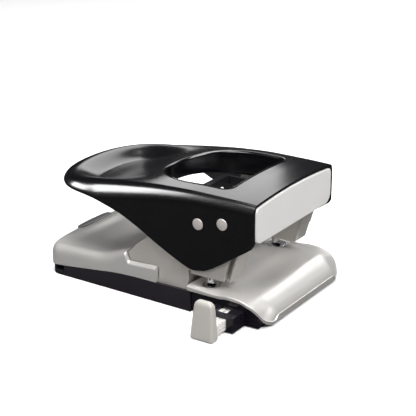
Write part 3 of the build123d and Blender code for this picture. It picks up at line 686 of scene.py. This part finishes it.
def rivet_caps():
    """Four domed caps: an upright rim, a quarter ellipse over its edge, then a parabola up
    to the middle."""
    flat, round_x, round_z = CAP_RADIUS - 0.5, 0.5, 0.4
    dome = [(0.0, 0.0), (CAP_RADIUS, 0.0), (CAP_RADIUS, CAP_RIM)]
    dome += [(flat + round_x * math.cos(a), CAP_RIM + round_z * math.sin(a))
             for a in np.linspace(0, np.pi / 2, 9)]
    dome += [(r, CAP_HEIGHT - CAP_RIM * (r / flat) ** 2) for r in (2.4, 1.6, 0.8, 0.0)]
    patches = []
    for sign in SIDES.values():
        for y, z in PIVOTS:
            profile = [(r, sign * (HANDLE_X - 0.3 + h)) for r, h in dome]
            patches.append(lathe(profile, (0, y, z), "x", 40))
    mesh = make_mesh("rivet_caps", patches)
    return place("rivet_caps", mesh, "handle", CAP, ["axle_caps"])


# ------------------------------------------------------------------ punch mechanism
def springs():
    """Coil springs: a tube round a helix whose pitch is smaller near both ends."""
    closing, around_steps = 0.35, 10
    around = np.linspace(0, 2 * np.pi, around_steps, endpoint=False)[None, :, None]
    for name, sign in SIDES.items():
        t = np.linspace(0, 1, int(COIL_TURNS * 40))
        climb = ease(t, 0.0, 1.0) * closing + t * (1 - closing)
        turn = 2 * np.pi * COIL_TURNS * t
        side = np.stack([np.cos(turn), np.sin(turn), np.zeros(len(t))], 1)
        centre = side * COIL_MEAN / 2
        centre[:, 2] = COIL_LOW + (COIL_HIGH - COIL_LOW) * climb
        tangent = np.gradient(centre, axis=0)
        tangent /= np.linalg.norm(tangent, axis=1)[:, None]
        up = np.cross(tangent, side)
        tube = centre[:, None] + COIL_WIRE / 2 * (np.cos(around) * side[:, None]
                                                  + np.sin(around) * up[:, None])
        ends = [np.repeat(centre[k][None, None], around_steps, 1) for k in (0, -1)]
        tube = np.concatenate([ends[0], tube, ends[1]]) + (sign * HOLE_X, 0, 0)
        mesh = make_mesh("coil_" + name, [(tube, True)])
        coil = place("coil_" + name, mesh, "base", STEEL, ["return_spring_" + name])
        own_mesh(coil)


def die_rings():
    """Hardened rings in the table: a turned profile with a chamfered bore."""
    profile = [(2.8, 11.0), (2.8, 16.7), (3.3, 17.2), (5.5, 17.2), (5.9, 16.9), (5.95, 14.2),
               (4.2, 14.0), (4.2, 11.0), (2.8, 11.0)]
    for name, sign in SIDES.items():
        mesh = make_mesh("die_ring_" + name, [lathe(profile, (sign * HOLE_X, 0, 0))])
        place("die_ring_" + name, mesh, "base", CHROME, ["die_bush_" + name])


# ------------------------------------------------------------------ base
def table_half_width(y):
    """Half width in plan: straight sides, then a quarter circle at the front corners."""
    turn = TABLE_FRONT + TABLE_CORNER
    drop = np.clip(turn - y, 0, TABLE_CORNER)
    return TABLE_X - TABLE_CORNER + np.sqrt(np.maximum(TABLE_CORNER ** 2 - drop ** 2, 0.01))


def table_height(x, y):
    """Top of the table: the roll's profile over the distance from the front edge, eased
    down towards the sides to meet the thin rim, with a rounded square seat (the fourth
    root of the summed fourth powers) and a round recess at each die."""
    middle = flow(y - TABLE_FRONT, ROLL_S, ROLL_Z)
    depth = np.maximum(middle - flow(y, UNDER_Y, UNDER_Z) - TABLE_RIM, 0.6)
    fold = np.interp(y, FOLD_Y, FOLD_X)
    height = middle - depth * ease(np.abs(x), fold - 1.5, table_half_width(y) + 1.0)
    seat = ((np.abs(x) - HOLE_X) ** 4 + y ** 4) ** 0.25
    height = height - SEAT_DEPTH * (1 - ease(seat, DIE_RADIUS + 1.6, DIE_RADIUS + 2.3))
    from_die = np.hypot(np.abs(x) - HOLE_X, y)
    return height - RECESS_DEPTH * (1 - ease(from_die, DIE_RADIUS + 0.15, DIE_RADIUS + 0.75))


def spaced(*stops):
    """Grid line places: (from, to, spacing) for each stretch, without repeats."""
    runs = [np.linspace(a, b, max(2, int(abs(b - a) / s) + 1))[:-1] for a, b, s in stops]
    return np.concatenate([*runs, [stops[-1][1]]])


def paper_table():
    """Top: lines across at set depths, each as wide as the plan. Rim: a rounded edge that
    follows the top's border down to the underside, square at the sides and rolled at the
    front, with a short return behind it. The sheet is left open under each die ring."""
    rows = spaced((TABLE_REAR, 8.0, 1.0), (8.0, -8.0, 0.32), (-8.0, -34.0, 1.2),
                  (-34.0, -45.0, 0.7), (-45.0, TABLE_FRONT, 0.12))
    half = spaced((0.0, 32.0, 1.6), (32.0, 48.0, 0.32), (48.0, TABLE_X, 0.5)) / TABLE_X
    across = np.concatenate([-half[:0:-1], half])
    wide = table_half_width(rows)[:, None]
    inner = TABLE_X - RIM_INSET
    x = across[None] * inner * (wide / TABLE_X) ** (across[None] ** 2)
    y = np.broadcast_to(rows[:, None], x.shape)
    top = np.stack([x, y, table_height(x, y)], -1)
    border = np.concatenate([top[:, 0], top[-1, 1:-1], top[::-1, -1]])
    normal = outward(border[:, :2])
    if normal[0, 0] > 0:
        normal = -normal
    under = flow(border[:, 1], UNDER_Y, UNDER_Z)
    front = np.clip(-normal[:, 1], 0, 1)
    grids = [border]
    for a in np.linspace(0, np.pi, 11)[1:]:
        square = math.sin(a) ** 0.4 if a < math.pi else 0.0
        share = (1 - math.copysign(abs(math.cos(a)) ** 0.6, math.cos(a))) / 2
        lip = 0.6 * math.sin(min(a * 2.2, math.pi)) - 0.9 * share
        out = RIM_INSET * square * (1 - front) + front * lip
        height = border[:, 2] - (border[:, 2] - under) * share
        grids.append(np.column_stack([border[:, :2] + normal * out[:, None], height]))
    back = grids[-1].copy()
    back[:, :2] -= normal * 3.0
    back[:, 2] += 0.3
    mesh = make_mesh("table_sheet", [top, np.stack(grids + [back])], facing_up=True,
                     bores=[(sign * HOLE_X, 0, DIE_BORE) for sign in SIDES.values()])
    return place("table_sheet", mesh, "base", SILVER, ["paper_table"],
                 shade_angle=38)


def cover_sides():
    """Plan of the rear cover as an open U: left side, bowed rear, right side."""
    near = spaced((COVER_FRONT, 56.0, 1.6), (56.0, 66.0, 0.35), (66.0, COVER_TURN, 1.7))[:-1]
    left = np.stack([np.full(len(near), -COVER_X), near], 1)
    curl = bezier([(-COVER_X, COVER_TURN), (-COVER_X, COVER_TURN + COVER_CURL),
                   (-COVER_CROWN, COVER_REAR), (0, COVER_REAR)], np.linspace(0, 1, 44))
    half = np.concatenate([left, curl])
    return np.concatenate([half, (half * (-1, 1))[-2::-1]])


def cover_radius(y):
    """Radius of the cover's shoulder: small on the lips, larger on the body."""
    return 2.6 + 1.9 * ease(y, 59.0, 66.0)


def rear_cover():
    """Body: straight blend in plan from the middle line to the shoulder, with the top
    height by the table and a shallow dish. Skirt: a quarter ellipse, then the flank down
    to the seam. The lips beside the columns are the same skirt without the body."""
    outer = cover_sides()
    normal = -outward(outer)
    radius = cover_radius(outer[:, 1])
    shoulder = outer - normal * radius[:, None]
    top = flow(outer[:, 1], TOP_Y, TOP_Z)
    side = np.abs(normal[:, 0])
    top = top - 0.9 * side * ease(outer[:, 1], 64.0, 80.0)
    fall = radius * (1 + 0.55 * ease(outer[:, 1], 62.0, 74.0))
    low = flow(outer[:, 1], SEAM_Y, SEAM_Z)
    rows = []
    for a in np.linspace(0, np.pi / 2, 10):
        plan = shoulder + normal * (radius * math.sin(a))[:, None]
        rows.append(np.column_stack([plan, top - fall * (1 - math.cos(a))]))
    flank_top = rows[-1][:, 2]
    for share in np.linspace(0, 1, 8)[1:]:
        rows.append(np.column_stack([outer, flank_top + (low - flank_top) * share]))
    body = shoulder[:, 1] >= COVER_STEP - 0.2
    edge = shoulder[body]
    inner = np.stack([np.zeros(len(edge)), np.clip(edge[:, 1], COVER_STEP, COVER_SPINE_END)],
                     1)
    share = np.linspace(0, 1, 26)[:, None, None]
    plan = inner[None] * (1 - share) + edge[None] * share
    edge_top = top[body]
    middle = flow(plan[..., 1], TOP_Y, TOP_Z)
    dish = (DISH_DEPTH * ease(plan[..., 1], 62.0, 90.0)
            * (1 - ease(plan[..., 1], 108.0, 124.0)))
    height = middle * (1 - share[..., 0] ** 3) + edge_top[None] * share[..., 0] ** 3
    height = height - dish * (1 - share[..., 0] ** 2)
    mesh = make_mesh("cover_skin", [np.concatenate([plan, height[..., None]], -1),
                                    np.stack(rows)], facing_up=True)
    return place("cover_skin", mesh, "base", SILVER, ["rear_cover"],
                 wall=COVER_WALL, edge=0.3, edge_angle=50, shade_angle=40)


def thumb_slide():
    """Oval pad: half-round ends joined by sides that bow outwards, carried over a rounded
    top edge, with a low crown."""
    top = float(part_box("lock_slider")[1][2]) / MM - 0.1
    radius, arm = SLIDE_WIDTH / 2, (SLIDE_LENGTH - SLIDE_WIDTH) / 2
    bend = np.linspace(-np.pi / 2, np.pi / 2, 20)
    end = np.stack([arm + radius * np.cos(bend), radius * np.sin(bend)], 1)
    side_x = np.linspace(arm, -arm, 16)[1:-1]
    side = np.stack([side_x, np.full_like(side_x, radius)], 1)
    outline = np.concatenate([end, side, -end, -side])
    outline[:, 1] *= 1.16 - 0.24 * (outline[:, 0] / (SLIDE_LENGTH / 2)) ** 2
    rows = [(0.0, 0.25), (0.45, 0.2), (0.75, 0.05), (0.86, -0.12), (0.94, -0.4),
            (0.985, -0.8), (1.0, -1.3), (1.0, -4.2)]
    grid = []
    for share, rise in rows:
        shrink = 1 - (1 - share) * SLIDE_WIDTH / SLIDE_LENGTH
        ring = outline * (shrink, share) + (0, SLIDE_Y)
        grid.append(np.insert(ring, 2, top + rise, axis=1))
    mesh = make_mesh("thumb_slide", [(np.stack(grid), True)])
    return place("thumb_slide", mesh, "lock", THUMB, ["lock_slider"])


# ------------------------------------------------------------------ side guide
def guide_bar():
    """Ribbed section carried along X, with notches where the detent drops in."""
    y_low, y_high = BAR_Y - BAR_WIDTH / 2, BAR_Y + BAR_WIDTH / 2
    z_low, z_high = BAR_Z, BAR_Z + BAR_HEIGHT
    section = [(y_low + 0.4, z_low), (y_low, z_low + 0.4)]
    for z in (z_low + 1.9, z_low + 4.3):
        section += [(y_low, z - 0.5), (y_low + 0.5, z - 0.3), (y_low + 0.5, z + 0.3),
                    (y_low, z + 0.5)]
    section += [(y_low, z_high - 0.5), (y_low + 0.5, z_high)]
    for y in (y_low + 2.4, y_low + 4.4, y_high - 4.4, y_high - 2.4):
        section += [(y - 0.45, z_high), (y - 0.3, z_high - 0.5), (y + 0.3, z_high - 0.5),
                    (y + 0.45, z_high)]
    section += [(y_high - 0.4, z_high), (y_high, z_high - 0.4), (y_high, z_low + 0.4),
                (y_high - 0.4, z_low)]
    section = np.array(section)
    centre = section.mean(0)
    along, depth, grids = [BAR_LOW_X], [0.0], []
    for x in NOTCH_X:
        along += [x - 1.1, x - 0.7, x + 0.7, x + 1.1]
        depth += [0.0, NOTCH_DEPTH, NOTCH_DEPTH, 0.0]
    along.append(BAR_HIGH_X)
    depth.append(0.0)
    for x, notch in zip(along, depth):
        ring = section.copy()
        ring[:, 0] = np.maximum(ring[:, 0], y_low + notch)
        grids.append(np.insert(ring, 0, x, axis=1))
    ends = [np.repeat(np.array([[x, *centre]]), len(section), 0) for x in (along[0], along[-1])]
    mesh = make_mesh("scale_bar", [(np.stack([ends[0], *grids, ends[1]]), True)])
    return place("scale_bar", mesh, "guide", BAR_WHITE, ["guide_bar"],
                 shade_angle=25)


def scale_marks():
    """Plain ticks on the bar: thin strips, every fifth one longer."""
    z = BAR_Z + BAR_HEIGHT + 0.03
    sink = (0, 0, 0.25)
    patches = []
    for k, x in enumerate(np.arange(TICK_FROM, TICK_TO, TICK_STEP)):
        long = 3.4 if k % 5 == 0 else 1.9
        box = rounded(0.5, long, 0.12, 3)
        ring = np.column_stack([box[:, 0] + x, box[:, 1] + BAR_Y + 1.8 - long / 2,
                                np.full(len(box), z)])
        middle = np.repeat(ring.mean(0)[None], len(box), 0)
        patches.append((np.stack([middle, ring, ring - sink, middle - sink]), True))
    mesh = make_mesh("scale_marks", patches)
    return place("scale_marks", mesh, "guide", INK)


def stop_block():
    """Upright stop: rounded rectangles whose size and place change with height, and a
    quarter-round crest."""
    height = np.concatenate([
        [STOP_FOOT, 0.75, 1.1], np.linspace(1.6, STOP_SHAFT, 12),
        STOP_SHAFT + STOP_CREST * np.sin(np.linspace(0, np.pi / 2, 9))[1:]])
    share = (height - STOP_FOOT) / (STOP_HEIGHT - STOP_FOOT)
    depth = 7.4 - 2.9 * share ** 1.15
    width = 16.2 - 3.9 * share ** 1.3
    crest = np.sqrt(np.clip(1 - ((height - STOP_SHAFT) / STOP_CREST) ** 2, 0, 1))
    crest = np.where(height > STOP_SHAFT, crest, 1.0)
    foot = np.ones(len(height))
    foot[:2] = 0.95, 0.985
    grids = []
    for z, d, w, c, f, t in zip(height, depth, width, crest, foot, share):
        d_now = max(d - 3.4 * (1 - c), 0.3) * f
        w_now = max(w - 6.6 * (1 - c), 0.3) * f
        ring = rounded(d_now, w_now, min(1.5, d_now * 0.45), 7)
        centre = (STOP_X - 3.75 - 1.1 * t, BAR_Y + 0.4 - 1.4 * t)
        grids.append(np.column_stack([ring + centre, np.full(len(ring), z)]))
    first, last = (np.repeat(g.mean(0)[None], len(g), 0) for g in (grids[0], grids[-1]))
    mesh = make_mesh("stop_block", [(np.stack([first, *grids, last]), True)])
    return place("stop_block", mesh, "guide", STOP_GREY, ["guide_stop"],
                 shade_angle=45)


# ------------------------------------------------------------------ making the object
skin = handle_skin()
window_skirt()
face_plate()
rivet_caps()
springs()
die_rings()
paper_table()
rear_cover()
thumb_slide()
guide_bar()
scale_marks()
stop_block()
for side in SIDES:
    softened("side_frame_" + side, CAST, 0.7)
    softened("punch_head_" + side, CAST, 0.4)
    softened("head_cover_" + side, CAST, 0.25)
    softened("pin_head_" + side, STEEL, 0.4)
softened("lever_bracket", BRACKET, 0.5)
softened("stop_wall", CAST, 0.4)
softened("base_housing", HOUSING, 0.5)
softened("chip_tray", TRAY, 0.5)
softened("frame_screws", STEEL, 0.3)
softened("cover_screws", STEEL, 0.3)
softened("guide_detent", STEEL, 0.1)
KEPT = {"pivot_axle": STEEL, "pusher_axle": STEEL, "tray_rod": STEEL, "front_feet": RUBBER,
        "tray_feet": RUBBER, "punch_pin_left": CHROME, "punch_pin_right": CHROME}
for node, material in KEPT.items():
    part = frame["nodes"][node]
    part.data.materials.clear()
    part.data.materials.append(material)


# ------------------------------------------------------------------ stage, light, camera
def area_light(name, azimuth, elevation, distance, width, height, power):
    """Soft box on a sphere round the punch, facing it. Azimuth 0 is +Y, 90 is +X."""
    a, e = math.radians(azimuth), math.radians(elevation)
    lamp = bpy.data.lights.new(name, "AREA")
    lamp.shape = "RECTANGLE"
    lamp.size, lamp.size_y = width, height
    lamp.energy = power
    box = bpy.data.objects.new(name, lamp)
    bpy.context.scene.collection.objects.link(box)
    towards = np.array([math.sin(a) * math.cos(e), math.cos(a) * math.cos(e), math.sin(e)])
    box.location = towards * distance + np.array([0, 0.04, 0.04])
    box.rotation_euler = (math.radians(90 - elevation), 0, math.pi - a)
    return box


def floor():
    """Plain round floor: pale to the camera, greyer to the light it throws back, and near
    black in reflections, so that the glossy handle stays black."""
    ring = np.linspace(0, 2 * np.pi, 96, endpoint=False)
    reach = np.array([0.0, 400.0, 900.0, 1400.0])[:, None]
    across = reach * np.cos(ring)
    grid = np.stack([across, reach * np.sin(ring), np.zeros_like(across)], -1)
    mesh = make_mesh("floor", [(grid, True)])
    if mesh.polygons[0].normal.z < 0:
        mesh.flip_normals()
    ground = bpy.data.objects.new("floor", mesh)
    bpy.context.scene.collection.objects.link(ground)
    paint = bpy.data.materials.new("floor_white")
    paint.use_nodes = True
    nodes, links = paint.node_tree.nodes, paint.node_tree.links
    shader, path = nodes["Principled BSDF"], nodes.new("ShaderNodeLightPath")
    shade, mirror = nodes.new("ShaderNodeMapRange"), nodes.new("ShaderNodeMapRange")
    shade.inputs["To Min"].default_value = FLOOR_LIGHT
    shade.inputs["To Max"].default_value = FLOOR_SEEN
    links.new(path.outputs["Is Camera Ray"], shade.inputs["Value"])
    links.new(path.outputs["Is Glossy Ray"], mirror.inputs["Value"])
    links.new(shade.outputs["Result"], mirror.inputs["To Min"])
    mirror.inputs["To Max"].default_value = FLOOR_MIRRORED
    links.new(mirror.outputs["Result"], shader.inputs["Base Color"])
    shader.inputs["Roughness"].default_value = 1.0
    shader.inputs["Specular IOR Level"].default_value = 0.0
    ground.data.materials.append(paint)


def world():
    """Even studio light: white where the camera looks, a dimmer grey for everything else."""
    sky = bpy.data.worlds.new("studio")
    sky.use_nodes = True
    nodes, links = sky.node_tree.nodes, sky.node_tree.links
    base = nodes["Background"]
    base.inputs["Color"].default_value = (1, 1, 1, 1)
    path = nodes.new("ShaderNodeLightPath")
    power = nodes.new("ShaderNodeMapRange")
    power.inputs["To Min"].default_value = SKY_LIGHT
    power.inputs["To Max"].default_value = SKY_SEEN
    links.new(path.outputs["Is Camera Ray"], power.inputs["Value"])
    links.new(power.outputs["Result"], base.inputs["Strength"])
    bpy.context.scene.world = sky


def camera():
    """Long lens from the front left, a little above the punch."""
    lens = bpy.data.cameras.new("camera")
    lens.lens, lens.sensor_width = CAMERA_LENS, CAMERA_SENSOR
    lens.clip_start, lens.clip_end = 0.05, 20.0
    view = bpy.data.objects.new("camera", lens)
    bpy.context.scene.collection.objects.link(view)
    view.location = CAMERA_PLACE
    view.rotation_euler = (math.radians(CAMERA_TILT), 0, math.radians(CAMERA_TURN))
    bpy.context.scene.camera = view


floor()
world()
# Each light: azimuth, elevation, distance, width, height, power
near = area_light("back_box", 57, 35, 0.38, 0.17, 0.17, 0.25)
near.visible_camera = False
area_light("side_box", 98, 38, 1.5, 0.7, 0.5, 4.5)
area_light("left_key", -80, 40, 1.5, 0.8, 0.6, 10)
area_light("front_fill", 196, 46, 1.6, 1.0, 0.6, 24)
area_light("top_box", 0, 88, 1.3, 0.8, 0.8, 21)
# The strip draws the highlight along the bead: it lights the handle skin's gloss alone
strip = area_light("bead_strip", -36, 13, 1.3, 0.8, 0.45, 19)
strip.visible_diffuse = False
lit = bpy.data.collections.new("lit_by_strip")
lit.objects.link(skin)
strip.light_linking.receiver_collection = lit
camera()
bpy.context.scene.view_settings.view_transform = "Standard"
